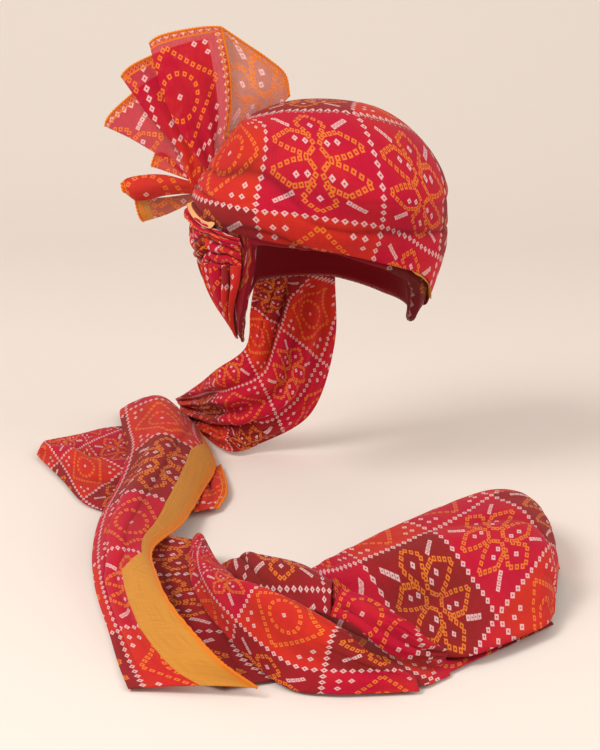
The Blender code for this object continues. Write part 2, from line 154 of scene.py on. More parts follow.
PLUME = {
    "plume_tab": (
        # right x, right y, right z, left x, left y, left z, bow
        (-0.616, 0.172, 0.15, -0.616, 0.172, 0.108, 0.004),
        (-0.779, 0.19, 0.128, -0.753, 0.19, 0.042, 0.01),
        (-0.9, 0.2, 0.132, -0.868, 0.2, 0.005, 0.016),
    ),
    "plume_loop": (
        (-0.638, 0.099, 0.228, -0.632, 0.115, 0.16, 0.012),
        (-0.747, 0.13, 0.25, -0.737, 0.13, 0.15, 0.036),
        (-0.847, 0.14, 0.249, -0.832, 0.14, 0.128, 0.042),
        (-0.932, 0.145, 0.232, -0.895, 0.145, 0.122, 0.036),
        (-0.963, 0.15, 0.208, -0.953, 0.15, 0.163, 0.01),
    ),
    "plume_corner": (
        (-0.639, 0.1045, 0.26, -0.636, 0.1055, 0.232, 0.002),
        (-0.747, 0.15, 0.352, -0.753, 0.15, 0.268, 0.006),
        (-0.795, 0.17, 0.347, -0.816, 0.17, 0.284, 0.006),
    ),
    "plume_pleat_left": (
        (-0.572, 0.088, 0.31, -0.64, 0.091, 0.24, 0.01),
        (-0.6, 0.116, 0.421, -0.747, 0.116, 0.326, 0.03),
        (-0.658, 0.15, 0.574, -0.905, 0.15, 0.421, 0.042),
        (-0.747, 0.17, 0.737, -1.053, 0.17, 0.489, 0.03),
    ),
    "plume_pleat_middle": (
        (-0.5, 0.056, 0.395, -0.628, 0.06, 0.242, 0.008),
        (-0.48, 0.072, 0.547, -0.679, 0.074, 0.379, 0.028),
        (-0.5, 0.122, 0.735, -0.811, 0.092, 0.532, 0.04),
        (-0.53, 0.145, 0.9, -0.958, 0.105, 0.742, 0.03),
    ),
    "plume_pleat_tall": (
        (-0.432, 0.036, 0.462, -0.563, 0.036, 0.32, 0.006),
        (-0.416, 0.032, 0.626, -0.647, 0.032, 0.442, 0.024),
        (-0.426, 0.026, 0.805, -0.742, 0.026, 0.647, 0.04),
        (-0.458, 0.02, 0.968, -0.805, 0.02, 0.905, 0.036),
    ),
    "plume_wing": (
        (-0.456, 0.066, 0.962, -0.426, 0.06, 0.465, 0.006),
        (-0.342, 0.079, 0.884, -0.409, 0.07, 0.492, 0.01),
        (-0.237, 0.095, 0.811, -0.374, 0.084, 0.524, 0.014),
        (-0.158, 0.111, 0.737, -0.318, 0.1, 0.568, 0.012),
        (-0.137, 0.121, 0.632, -0.234, 0.111, 0.606, 0.004),
    ),
}
TAIL = {
    "tail_root": (
        # left x, left y, left height, right x, right y, right height, puff
        (-0.13, 0.186, 2.708, 0.04, 0.222, 2.69, 0.0),
        (-0.143, 0.238, 2.15, 0.04, 0.262, 1.6, 0.12),
        (-0.154, 0.235, 1.6, -0.01, 0.25, 0.6, 0.22),
        (-0.219, 0.24, 1.26, -0.12, 0.243, 0.15, 0.22),
        (-0.263, 0.387, 0.8, -0.19, 0.215, 0.08, 0.1),
        (-0.306, 0.465, 0.48, -0.261, 0.365, 0.06, 0.06),
        (-0.336, 0.605, 0.16, -0.303, 0.525, 0.05, 0.03),
    ),
    "tail_flap": (
        (-0.613, 0.198, 0.06, -0.607, 0.289, 0.09, 0.03),
        (-0.535, 0.028, 0.04, -0.533, 0.315, 0.14, 0.11),
        (-0.47, -0.122, 0.04, -0.478, 0.358, 0.155, 0.09),
        (-0.385, -0.2, 0.05, -0.402, 0.4, 0.12, 0.03),
    ),
    "tail_side_flap": (
        (-0.254, 0.035, 0.09, -0.206, 0.117, 0.075, 0.01),
        (-0.25, -0.109, 0.127, -0.186, -0.059, 0.095, 0.02),
        (-0.245, -0.213, 0.125, -0.199, -0.165, 0.07, 0.01),
    ),
    "tail_inner": (
        (-0.31, -0.42, 0.285, -0.222, -0.44, 0.275, 0.02),
        (-0.31, -0.6, 0.2, -0.195, -0.6, 0.262, 0.02),
        (-0.275, -0.8, 0.14, -0.148, -0.77, 0.18, 0.02),
        (-0.22, -0.935, 0.09, -0.098, -0.89, 0.09, 0.02),
        (-0.15, -1.0, 0.04, -0.05, -0.96, 0.03, 0.01),
    ),
    "tail_front": (
        (-0.233, -0.452, 0.31, -0.213, -0.448, 0.36, 0.06),
        (-0.233, -0.543, 0.3, -0.178, -0.615, 0.43, 0.11),
        (-0.222, -0.654, 0.28, -0.143, -0.728, 0.49, 0.2),
        (-0.191, -0.765, 0.24, -0.122, -0.828, 0.63, 0.26),
        (-0.152, -0.865, 0.22, -0.087, -0.87, 0.71, 0.29),
        (-0.109, -0.943, 0.14, -0.041, -0.915, 0.74, 0.29),
        (-0.05, -1.004, 0.04, -0.002, -0.961, 0.71, 0.26),
        (0.011, -1.022, 0.04, 0.035, -0.993, 0.63, 0.17),
        (0.072, -1.02, 0.04, 0.074, -1.007, 0.43, 0.09),
        (0.148, -1.012, 0.04, 0.142, -0.985, 0.12, 0.01),
    ),
    "tail_back_fold": (
        (-0.173, -0.61, 0.38, -0.15, -0.56, 0.06, 0.12),
        (-0.142, -0.722, 0.45, -0.115, -0.6, 0.04, 0.4),
        (-0.088, -0.845, 0.62, -0.068, -0.61, 0.04, 0.46),
        (-0.038, -0.895, 0.66, -0.02, -0.65, 0.04, 0.46),
        (0.012, -0.935, 0.64, 0.022, -0.74, 0.04, 0.44),
    ),
    "tail_cross_flap": (
        (0.012, -0.937, 0.65, 0.03, -0.895, 0.84, 0.03),
        (0.045, -0.968, 0.65, 0.076, -0.93, 0.82, 0.07),
        (0.075, -0.978, 0.5, 0.111, -0.955, 0.72, 0.09),
        (0.1, -0.976, 0.36, 0.137, -0.955, 0.62, 0.09),
        (0.143, -0.96, 0.22, 0.165, -0.948, 0.42, 0.06),
        (0.193, -0.935, 0.17, 0.202, -0.925, 0.23, 0.01),
    ),
    "tail_end": (
        (-0.03, -0.6, 0.05, -0.016, -0.505, 0.04, 0.1),
        (0.05, -0.803, 0.09, 0.05, -0.455, 0.04, 0.46),
        (0.111, -0.876, 0.09, 0.12, -0.385, 0.04, 0.66),
        (0.172, -0.899, 0.1, 0.193, -0.3, 0.04, 0.75),
        (0.23, -0.911, 0.13, 0.27, -0.21, 0.04, 0.8),
        (0.287, -0.874, 0.15, 0.345, -0.15, 0.04, 0.8),
        (0.337, -0.828, 0.15, 0.403, -0.17, 0.04, 0.74),
        (0.372, -0.791, 0.15, 0.436, -0.3, 0.04, 0.55),
        (0.393, -0.733, 0.14, 0.435, -0.5, 0.06, 0.2),
    ),
    "tail_under": (
        (0.16, -0.992, 0.04, 0.153, -0.89, 0.05, 0.02),
        (0.191, -0.95, 0.04, 0.183, -0.87, 0.05, 0.02),
        (0.243, -0.896, 0.04, 0.233, -0.84, 0.05, 0.02),
        (0.298, -0.843, 0.04, 0.291, -0.79, 0.05, 0.02),
        (0.348, -0.791, 0.04, 0.34, -0.74, 0.05, 0.01),
        (0.39, -0.748, 0.04, 0.38, -0.711, 0.05, 0.01),
    ),
    "dip_layer": (
        (-0.01, -0.945, 0.56, 0.0, -0.86, 0.52, 0.02),
        (0.045, -0.985, 0.44, 0.055, -0.89, 0.4, 0.02),
        (0.09, -1.0, 0.24, 0.095, -0.89, 0.26, 0.02),
        (0.15, -0.995, 0.06, 0.145, -0.88, 0.12, 0.02),
        (0.2, -0.95, 0.03, 0.195, -0.86, 0.08, 0.01),
    ),
}
# Folds of each piece of the tail: how many lie side by side, their drift over the length and their depth, then how far
# the cloth covers what is behind, and its hems
FOLDS = {
    "tail_root": (4.0, 1.3, 0.0060, 1.0, ()),
    "tail_flap": (2.0, 0.8, 0.0022, 1.0, ()),
    "tail_side_flap": (1.5, 0.3, 0.0012, 1.0, ("right",)),
    "tail_inner": (2.0, 0.5, 0.0008, 1.0, ()),
    "tail_front": (2.0, -0.6, 0.0014, 1.0, ()),
    "tail_back_fold": (2.5, 0.7, 0.0020, 0.88, ()),
    "tail_cross_flap": (2.0, -0.5, 0.0014, 0.92, ()),
    "tail_end": (2.5, 0.8, 0.0024, 1.0, ()),
    "tail_under": (1.0, 0.3, 0.0006, 1.0, ()),
    "dip_layer": (1.0, 0.3, 0.0010, 1.0, ()),
    "tail_over": (1.5, 0.8, 0.0020, 1.0, ()),
}
TAIL_OVER = (
    (-0.462, 0.575, 0.06, -0.345, 0.57, 0.06, 0.06),
    (-0.457, 0.47, 0.17, -0.28, 0.385, 0.18, 0.34),
    (-0.43, 0.289, 0.18, -0.226, 0.141, 0.17, 0.43),
    (-0.409, 0.135, 0.18, -0.217, 0.05, 0.14, 0.46),
    (-0.411, -0.065, 0.14, -0.233, -0.098, 0.17, 0.43),
    (-0.426, -0.25, 0.11, -0.259, -0.335, 0.26, 0.37),
    (-0.42, -0.422, 0.09, -0.298, -0.546, 0.43, 0.26),
    (-0.402, -0.559, 0.07, -0.276, -0.717, 0.51, 0.17),
    (-0.38, -0.67, 0.07, -0.246, -0.843, 0.54, 0.11),
    (-0.35, -0.796, 0.06, -0.202, -0.952, 0.51, 0.09),
    (-0.324, -0.911, 0.04, -0.154, -1.02, 0.37, 0.06),
    (-0.3, -1.002, 0.04, -0.1, -1.03, 0.13, 0.03),
)
# Rows of the over fold and the shares at which the gold band starts there: it folds over between rows 6.45 and 7.15
BAND_START = ((0.0, 0.99), (1.32, 0.97), (3.32, 0.76), (4.15, 0.78), (4.97, 0.795), (5.57, 0.85), (6.45, 0.845),
              (7.15, 0.45), (8.13, 0.4), (9.03, 0.365), (9.8, 0.43), (10.52, 0.475), (11.0, 0.555))
# Rows of the over fold at which a new cell of the print begins
OVER_CELLS = ((0.0, -0.7), (1.3, 0.0), (3.2, 1.0), (4.95, 2.0), (6.5, 3.0), (9.0, 4.0), (11.0, 4.8))

# How the print lies on each piece, in cells per metre of cloth, and how its four looks (crimson, crimson, maroon and
# orange red) follow one another
PRINT = {
    # u: per metre across, per metre along, start; v: the same; looks: step per column, step per row, first
    "plume_tab": (9.0, 2.0, 0.3, -2.0, 9.0, 0.2, 1, 1, 2),
    "plume_loop": (9.0, 2.0, 0.2, -2.0, 9.0, 0.1, 0, 0, 3),
    "plume_corner": (9.0, 2.0, 0.2, -2.0, 9.0, 0.4, 0, 0, 3),
    "plume_pleat_left": (9.5, 1.0, -0.25, -1.0, 9.5, 0.15, 1, 1, 0),
    "plume_pleat_middle": (9.5, 1.5, 0.22, -1.5, 9.5, -0.35, 1, 1, 0),
    "plume_pleat_tall": (10.0, 0.0, -0.05, 0.0, 10.0, -0.2, 0, 0, 1),
    "plume_wing": (9.5, 1.0, 0.15, -1.0, 9.5, 0.1, 0, 0, 2),
    "tail_root": (16.0, 3.0, 0.05, -3.0, 15.0, -0.85, 1, 1, 3),
    "tail_flap": (8.5, 3.1, -0.34, 6.0, -16.6, 1.51, 1, 1, 3),
    "tail_side_flap": (9.0, 3.0, 0.2, -3.0, 9.0, 0.1, 0, 0, 3),
    "tail_inner": (10.0, 2.0, 0.1, -2.0, 9.5, 0.3, 0, 0, 2),
    "tail_front": (0.0, 12.0, -2.49, 18.0, 0.0, -0.31, -1, 1, 3),
    "tail_back_fold": (2.0, 11.0, -0.6, 9.0, -2.0, 0.1, 0, 0, 2),
    "tail_cross_flap": (9.0, 9.0, 0.15, -9.0, 9.0, 0.35, 0, 1, 1),
    "tail_end": (5.5, 9.6, -1.13, 5.4, -5.2, 0.92, 2, 1, 2),
    "tail_under": (9.0, 6.0, 0.1, -6.0, 9.0, 0.3, 1, 1, 1),
    "dip_layer": (9.0, 6.0, 0.4, -6.0, 9.0, 0.2, 1, 1, 2),
}
CROWN_LOOKS = (1, 1, 0)
OVER_LOOKS = (1, -1, 3)


def smooth(table, where):
    """Rows of the table at the given row numbers: a cubic curve through every row, after Catmull and Rom."""
    rows = np.asarray(table, float)
    rows = np.vstack([2 * rows[0] - rows[1], rows, 2 * rows[-1] - rows[-2]])
    first = np.clip(np.floor(where).astype(int), 0, len(rows) - 4)
    t = (np.asarray(where, float) - first)[..., None]
    a, b, c, d = rows[first], rows[first + 1], rows[first + 2], rows[first + 3]
    return b + 0.5 * t * (c - a + t * (2 * a - 5 * b + 4 * c - d + t * (3 * (b - c) + d - a)))


def edge_height(rim, turn):
    """Height share of an edge at a turn, on straight lines between the table's rows, as in the part."""
    turns, heights = np.transpose(rim)
    return np.interp(turn, turns, heights)


def row_at_height(height):
    """Row number of the outline at a height, found on a fine list of the outline's heights."""
    where = np.linspace(0.0, len(OUTLINE) - 1.0, 1200)
    heights = smooth(OUTLINE, where)[:, 0] * CROWN_RISE
    return np.interp(-np.asarray(height), -heights, where)


def on_turban(turn, where, inset):
    """Point of the outline: a squared ellipse whose half width and depth come from the outline's row."""
    row = smooth(OUTLINE, where)
    angle = np.radians(turn)
    across, along = np.cos(angle), np.sin(angle)
    half_width = TURBAN_WIDTH / 2 * np.where(across > 0, row[..., 1], row[..., 2])
    half_depth = TURBAN_DEPTH / 2 * np.where(along < 0, row[..., 3], row[..., 4])
    half_width = half_width * (1 - 2 * inset / TURBAN_WIDTH) + 1e-9
    half_depth = half_depth * (1 - 2 * inset / TURBAN_DEPTH) + 1e-9
    reach = (np.abs(across) / half_width) ** PLAN_SQUARE + (np.abs(along) / half_depth) ** PLAN_SQUARE
    radius = reach ** (-1 / PLAN_SQUARE)
    height = row[..., 0] * CROWN_RISE
    height = height - inset * np.clip(height / CROWN_RISE, 0.0, 1.0)
    return np.stack([radius * across, radius * along, height], axis=-1)


def on_hollow(turn, share, rim):
    """Point of the head hollow: an ellipse that narrows downward and closes in a rounded top."""
    angle = np.radians(turn)
    height = rim + (HEAD_RISE - rim) * share
    up = np.clip(height / HEAD_RISE, 0.0, 1.0)
    down = np.clip(-height / CROWN_RISE, 0.0, 1.0)
    reach = np.sqrt(np.clip(1 - up ** HOLLOW_SQUARE, 0.0, 1.0)) * (1 - JAW_TAPER * down ** 1.5)
    x = HEAD_WIDTH / 2 * reach * np.cos(angle)
    y = HEAD_DEPTH / 2 * reach * np.sin(angle)
    return np.stack([x, y, height], axis=-1)


def strip(rows, along, across, bow_direction, left=0.0, right=1.0):
    """Surface between two edges: the straight line between them, raised by the bow times one minus x squared."""
    row = smooth(rows, np.linspace(0.0, len(rows) - 1.0, along))[:, None, :]
    left, right = np.broadcast_to(left, along)[:, None], np.broadcast_to(right, along)[:, None]
    share = (left + (right - left) * np.linspace(0.0, 1.0, across)[None, :])[..., None]
    chord = row[..., 0:3] * (1 - share) + row[..., 3:6] * share
    return chord + row[..., 6:7] * (1 - (2 * share - 1) ** 2) * np.asarray(bow_direction)


def unit(vectors):
    """Vectors brought to the length one."""
    return vectors / np.maximum(np.linalg.norm(vectors, axis=-1, keepdims=True), 1e-12)


def step_lengths(points):
    """Distances from each row of points to the next row."""
    return np.linalg.norm(np.diff(points, axis=0), axis=-1)


def running(steps):
    """Sum of the steps up to each row, from none at the first row on."""
    return np.concatenate([np.zeros_like(steps[:1]), np.cumsum(steps, axis=0)])


def normals(middle):
    """Unit normals of a point grid: the cross product of its steps along and across."""
    return unit(np.cross(np.gradient(middle, axis=0), np.gradient(middle, axis=1)))


def lengths(middle):
    """Cloth length across from the first edge, and along from the first row, at each point of a grid."""
    across = running(step_lengths(middle.swapaxes(0, 1))).T
    along = running(step_lengths(middle).mean(axis=1))
    return across, np.repeat(along[:, None], middle.shape[1], axis=1)


def ripple(across, along, seed, folds=7, stretch=0.35):
    """Soft cloth folds between -1 and 1: a sum of sines with seeded slants, longest along the cloth."""
    chance = np.random.default_rng(seed)
    total = np.zeros_like(across)
    for number in range(folds):
        pitch = chance.uniform(0.018, 0.060)
        slant = chance.uniform(-stretch, stretch)
        phase = chance.uniform(0.0, 2 * np.pi)
        total += np.sin(2 * np.pi * (across + slant * along) / pitch + phase + 2.0 * np.sin(along / 0.07 + phase))
    return total / folds ** 0.5 / 1.6


def grid_faces(rows, columns, around):
    """Corner numbers of the quads of a point grid, as one array; closed in the second direction if around."""
    i, j = np.meshgrid(np.arange(rows - 1), np.arange(columns if around else columns - 1), indexing="ij")
    k = (j + 1) % columns
    return np.stack([i * columns + j, (i + 1) * columns + j, (i + 1) * columns + k, i * columns + k], -1).reshape(-1, 4)


def placed(name, data, place=(0.0, 0.0, 0.0), turned=(0.0, 0.0, 0.0)):
    """New object in the scene, at a place and turned about X, Y and Z."""
    thing = bpy.data.objects.new(name, data)
    thing.location, thing.rotation_euler = place, turned
    bpy.context.collection.objects.link(thing)
    return thing


def finish_mesh(name, points, quads, maps):
    """Mesh object from points and quads, smooth, with one UV map for each named list of corner places."""
    mesh = bpy.data.meshes.new(name)
    mesh.from_pydata(points.tolist(), [], quads.tolist())
    for map_name, corners in maps.items():
        layer = mesh.uv_layers.new(name=map_name)
        layer.data.foreach_set("uv", corners.astype(np.float32).ravel())
    mesh.polygons.foreach_set("use_smooth", np.ones(len(mesh.polygons), bool))
    mesh.update()
    return placed(name, mesh)


def shaded(depth):
    """Depth of the valleys, which sets the painted shade, as a list of pairs for a UV map."""
    return np.stack([depth, 0 * depth], -1).reshape(-1, 2)


def turned_outward(piece, merge=False, fill=False):
    """Sets the piece's faces outward, with doubles merged or open ends filled first where asked."""
    body = bmesh.new()
    body.from_mesh(piece.data)
    if merge:
        bmesh.ops.remove_doubles(body, verts=body.verts, dist=1e-6)
    if fill:
        bmesh.ops.holes_fill(body, edges=[e for e in body.edges if e.is_boundary], sides=0)
    bmesh.ops.recalc_face_normals(body, faces=body.faces)
    body.to_mesh(piece.data)
    body.free()
    return piece


def closed_pair(name, top, base, lay, hem=None, shade=None):
    """Closed body between two point grids: top, base turned round, and a rim of quads."""
    rows, columns = top.shape[:2]
    count = rows * columns
    faces = grid_faces(rows, columns, False)
    rim = np.concatenate([
        np.arange(columns), np.arange(1, rows) * columns + columns - 1,
        (rows - 1) * columns + np.arange(columns - 2, -1, -1), np.arange(rows - 2, 0, -1) * columns,
    ])
    after = np.roll(rim, -1)
    quads = np.concatenate([faces, faces[:, ::-1] + count, np.stack([rim, after, after + count, rim + count], -1)])
    corners = quads.ravel() % count
    hem = np.full((count, 2), NO_HEM) if hem is None else hem.reshape(-1, 2)
    dark = shaded(np.zeros((rows, columns)) if shade is None else shade)
    maps = {"print": lay.reshape(-1, 2)[corners], "hem": hem[corners], "shade": dark[corners]}
    return finish_mesh(name, np.concatenate([top.reshape(-1, 3), base.reshape(-1, 3)]), quads, maps)


def cloth_sheet(name, middle, lay, hem, thickness=SHEET, shade=None):
    """Closed thin sheet: the grid moved half the thickness to each side along its normals."""
    side = normals(middle) * thickness / 2
    return closed_pair(name, middle + side, middle - side, lay, hem, shade)


def round_shell(name, outer, inner, lay, shade, inner_lay=None):
    """Dome of cloth, closed around and at its pole: two ring grids joined by a rim, doubles merged at the pole."""
    rows, columns = outer.shape[:2]
    count = rows * columns
    points = np.concatenate([outer.reshape(-1, 3), inner.reshape(-1, 3)])
    faces = grid_faces(rows, columns, True)
    first = np.arange(columns)
    after = np.roll(first, -1)
    rim = np.stack([first, after, after + count, first + count], -1)
    quads = np.concatenate([faces, faces[:, ::-1] + count, rim])
    # The print needs one more column than the rings, so that it can start afresh at the back seam
    wide = columns + 1
    i, j = np.divmod(quads % count, columns)
    last = (j.max(axis=1) == columns - 1) & (j.min(axis=1) == 0)
    j = np.where(last[:, None] & (j == 0), columns, j)
    both = np.concatenate([lay.reshape(-1, 2), (lay if inner_lay is None else inner_lay).reshape(-1, 2)])
    corners = both[(i * wide + j + (quads >= count) * rows * wide).ravel()]
    maps = {"print": corners, "hem": np.full_like(corners, NO_HEM), "shade": shaded(shade)[quads.ravel() % count]}
    return turned_outward(finish_mesh(name, points, quads, maps), merge=True)


def cord(name, path):
    """Thin cord: a ring carried along a path, each ring square to the path, its radius swelling with each stitch."""
    path = np.asarray(path)
    step = unit(np.gradient(path, axis=0))
    up = np.where(np.abs(step[:, 2:3]) > 0.9, [[1.0, 0.0, 0.0]], [[0.0, 0.0, 1.0]])
    aside = unit(np.cross(step, up))
    over = np.cross(aside, step)
    swell = HEM_CORD * (1 + CORD_SWELL * np.sin(2 * np.pi * running(step_lengths(path)) / STITCH))
    angle = np.arange(CORD_SIDES) * 2 * np.pi / CORD_SIDES
    ring = aside[:, None] * np.cos(angle)[None, :, None] + over[:, None] * np.sin(angle)[None, :, None]
    points = (path[:, None] + ring * swell[:, None, None]).reshape(-1, 3)
    quads = grid_faces(len(path), CORD_SIDES, True)[:, ::-1]
    lay = np.zeros((quads.size, 2))
    return turned_outward(finish_mesh(name, points, quads, {"print": lay, "hem": lay}), fill=True)


class Amount:
    """A number in a material; arithmetic on it adds Math nodes."""

    def __init__(self, tree, socket):
        self.tree, self.socket = tree, socket

    def math(self, operation, *others, clamp=False):
        node = self.tree.nodes.new("ShaderNodeMath")
        node.operation, node.use_clamp = operation, clamp
        for place, value in enumerate((self, *others)):
            if isinstance(value, Amount):
                self.tree.links.new(value.socket, node.inputs[place])
            else:
                node.inputs[place].default_value = value
        return Amount(self.tree, node.outputs[0])

    def __add__(self, other):
        return self.math("ADD", other)

    def __sub__(self, other):
        return self.math("SUBTRACT", other)

    def __mul__(self, other):
        return self.math("MULTIPLY", other)

    def size(self):
        return self.math("ABSOLUTE")

    def least(self, other):
        return self.math("MINIMUM", other)

    def most(self, other):
        return self.math("MAXIMUM", other)

    def inside(self, edge, soft=0.004):
        """One where the number is under the edge, none above it, with a soft change between."""
        return self.math("MULTIPLY_ADD", -1 / soft, edge / soft + 0.5, clamp=True)

    def ring(self, outer, inner):
        """One between the inner and the outer edge: a dyed dot with its small dark middle."""
        return self.inside(outer) * (self.inside(inner) * -1.0 + 1.0)


# The print, in shares of a cell from its middle; only one quarter is listed, because each cell is mirrored both ways
PETALS = (
    # start across, start up, end across, end up, dots
    (0.0, 0.425, 0.14, 0.31, 3), (0.14, 0.31, 0.035, 0.165, 3), (0.075, 0.19, 0.225, 0.235, 3),
    (0.02, 0.1, 0.075, 0.19, 2), (0.225, 0.235, 0.425, 0.125, 4), (0.425, 0.125, 0.25, 0.045, 3),
    (0.25, 0.045, 0.08, 0.0, 3), (0.03, 0.085, 0.085, 0.02, 2),
)
CORNER_BAR = (0.205, 0.275, 0.365, 0.375, 4)
PETAL_DOTS = ((0.0, 0.285), (0.100, 0.125), (0.195, 0.145))
LOZENGE = (0.420, 0.000, 0.000, 0.420, 9)
CORNER_DOTS = ((0.370, 0.370), (0.270, 0.375), (0.375, 0.270))
RING_RADIUS = 0.190
RING_DOTS = 16
LINE_DOTS = 13
# Half size of each kind of dot, and of its dark eye
LINE_DOT, LINE_EYE = 0.031, 0.010
DOT, DOT_EYE = 0.030, 0.009
SQUARE, SQUARE_EYE, BAR_EYE = 0.0205, 0.008, 0.006


def square_row(x, y, row):
    """Distance from a row of squares on the line from start to end: largest of along and across, in each step."""
    x0, y0, x1, y1, dots = row
    dx, dy = x1 - x0, y1 - y0
    run = math.hypot(dx, dy)
    rate = dots / run ** 2
    t = x.math("MULTIPLY_ADD", dx * rate, y.math("MULTIPLY_ADD", dy * rate, -(x0 * dx + y0 * dy) * rate))
    off = x.math("MULTIPLY_ADD", -dy / run, y.math("MULTIPLY_ADD", dx / run, (x0 * dy - y0 * dx) / run))
    step = run / dots
    near = t.math("PINGPONG", 0.5).math("MULTIPLY_ADD", -step, step / 2)
    beyond = (t - dots / 2).size().math("GREATER_THAN", dots / 2)
    return near.most(off.size()) + beyond


def nearest(distances):
    """Least of several numbers."""
    least, *others = distances
    for other in others:
        least = least.least(other)
    return least


def print_group():
    """Node group of the print: from the place in cells to the dots of the flower, of the lozenge and of the lines."""
    tree = bpy.data.node_groups.new("resist print", "ShaderNodeTree")
    face = tree.interface
    for name in ("Across", "Up"):
        face.new_socket(name, in_out="INPUT", socket_type="NodeSocketFloat")
    for name in ("Flower gold", "Flower white", "Lozenge gold", "Lozenge white", "Lines"):
        face.new_socket(name, in_out="OUTPUT", socket_type="NodeSocketFloat")
    given, result = tree.nodes.new("NodeGroupInput"), tree.nodes.new("NodeGroupOutput")
    u, v = Amount(tree, given.outputs["Across"]), Amount(tree, given.outputs["Up"])
    side_x, side_y = u.math("FRACT") - 0.5, v.math("FRACT") - 0.5
    x, y = side_x.size(), side_y.size()

    def dots(places):
        return nearest([(x - across).size() + (y - up).size() for across, up in places])

    petals = nearest([square_row(x, y, row) for row in PETALS])
    bars = square_row(x, y, CORNER_BAR)
    lozenge = square_row(x, y, LOZENGE)
    turn = side_y.math("ARCTAN2", side_x) * (RING_DOTS / (2 * math.pi))
    radius = (side_x * side_x + side_y * side_y).math("SQRT")
    step = 2 * math.pi * RING_RADIUS / RING_DOTS
    circle = turn.math("PINGPONG", 0.5).math("MULTIPLY_ADD", -step, step / 2).most((radius - RING_RADIUS).size())
    along_u, along_v = ((line * LINE_DOTS).math("PINGPONG", 0.5) * (1 / LINE_DOTS) for line in (u, v))
    lines = (along_v - x + 0.5).least(along_u - y + 0.5)

    results = {
        "Flower gold": petals.ring(SQUARE, SQUARE_EYE),
        "Flower white": dots(PETAL_DOTS).ring(DOT, DOT_EYE).most(bars.ring(SQUARE, BAR_EYE)),
        "Lozenge gold": lozenge.least(circle).ring(SQUARE, SQUARE_EYE),
        "Lozenge white": dots(((0.0, 0.0),) + CORNER_DOTS).ring(DOT, DOT_EYE),
        "Lines": lines.ring(LINE_DOT, LINE_EYE),
    }
    for name, value in results.items():
        tree.links.new(value.socket, result.inputs[name])
    return tree


DYES = {
    "crimson": (0.480, 0.004, 0.028), "orange red": (0.565, 0.024, 0.011), "maroon": (0.255, 0.013, 0.012),
    "gold dots": (0.760, 0.200, 0.022), "white dots": (0.740, 0.480, 0.465), "hem thread": (0.760, 0.190, 0.010),
    "border": (0.600, 0.250, 0.035), "border slub": (0.470, 0.175, 0.022), "peach": (0.780, 0.400, 0.160),
    "warm maroon": (0.460, 0.110, 0.052),
}
resist_print = print_group()


def mixed(tree, share, low, high):
    """Colour between two colours by a share; each may be a dye's name or a socket."""
    node = tree.nodes.new("ShaderNodeMix")
    node.data_type = "RGBA"
    tree.links.new(share.socket, node.inputs["Factor"])
    for place, colour in ((6, low), (7, high)):
        if isinstance(colour, str):
            node.inputs[place].default_value = (*DYES[colour], 1.0)
        else:
            tree.links.new(colour, node.inputs[place])
    return node.outputs[2]


def noise(tree, place, scale, detail=2.0):
    """Noise between none and one at a place."""
    node = tree.nodes.new("ShaderNodeTexNoise")
    node.inputs["Scale"].default_value = scale
    node.inputs["Detail"].default_value = detail
    tree.links.new(place, node.inputs["Vector"])
    return Amount(tree, node.outputs[0])


def stretched(tree, place, across, along):
    """Place on the cloth stretched for threads."""
    node = tree.nodes.new("ShaderNodeMapping")
    node.inputs["Scale"].default_value = (across, along, 1.0)
    tree.links.new(place, node.inputs["Vector"])
    return node.outputs[0]


def read_map(tree, name):
    """The two numbers of a UV map at the shaded point, and the socket that holds both."""
    place = tree.nodes.new("ShaderNodeUVMap")
    place.uv_map = name
    split = tree.nodes.new("ShaderNodeSeparateXYZ")
    tree.links.new(place.outputs[0], split.inputs[0])
    return Amount(tree, split.outputs[0]), Amount(tree, split.outputs[1]), place.outputs[0]


def new_material(name, settings):
    """New material and its shader with the given settings."""
    material = bpy.data.materials.new(name)
    material.use_nodes = True
    shader = material.node_tree.nodes["Principled BSDF"]
    for socket, value in settings.items():
        shader.inputs[socket].default_value = value
    return material, shader


def brightened(tree, colour, factor):
    """Colour with its brightness multiplied by a number."""
    node = tree.nodes.new("ShaderNodeHueSaturation")
    tree.links.new(colour, node.inputs["Color"])
    tree.links.new(factor.socket, node.inputs["Value"])
    return node.outputs[0]


def printed(tree, place, u, v, slub, looks, dark, lozenges):
    """Colour of the print, a dye by cell with resist dots over it, and where the dots are."""
    # The looks count from a number so high that it stays positive in every cell
    cell = u.math("FLOOR") * float(looks[0]) + v.math("FLOOR") * float(looks[1]) + float(looks[2] + 64)
    look = cell.math("MODULO", 4.0)
    second, maroon, orange = ((look - number).size().inside(0.5, 0.1) for number in (1.0, 2.0, 3.0))
    blotch = noise(tree, place, 1.7).math("MULTIPLY_ADD", 3.0, -1.25, clamp=True)
    lozenge = orange.most(second * lozenges)
    colour = mixed(tree, blotch * 0.55, "crimson", "orange red")
    colour = mixed(tree, orange, colour, mixed(tree, blotch * 0.35, "orange red", "crimson"))
    colour = mixed(tree, maroon, colour, mixed(tree, blotch * 0.42, dark, "crimson"))
    group = tree.nodes.new("ShaderNodeGroup")
    group.node_tree = resist_print
    tree.links.new(u.socket, group.inputs["Across"])
    tree.links.new(v.socket, group.inputs["Up"])
    out = {socket.name: Amount(tree, socket) for socket in group.outputs}
    flower = lozenge * -1.0 + 1.0
    gold = out["Flower gold"] * flower + out["Lozenge gold"] * lozenge
    white = (out["Flower white"] * flower + out["Lozenge white"] * lozenge).most(out["Lines"])
    strength = slub.math("MULTIPLY_ADD", -0.5, 1.12, clamp=True)
    colour = mixed(tree, gold * strength, colour, "gold dots")
    return mixed(tree, white * strength, colour, "white dots"), gold.most(white)


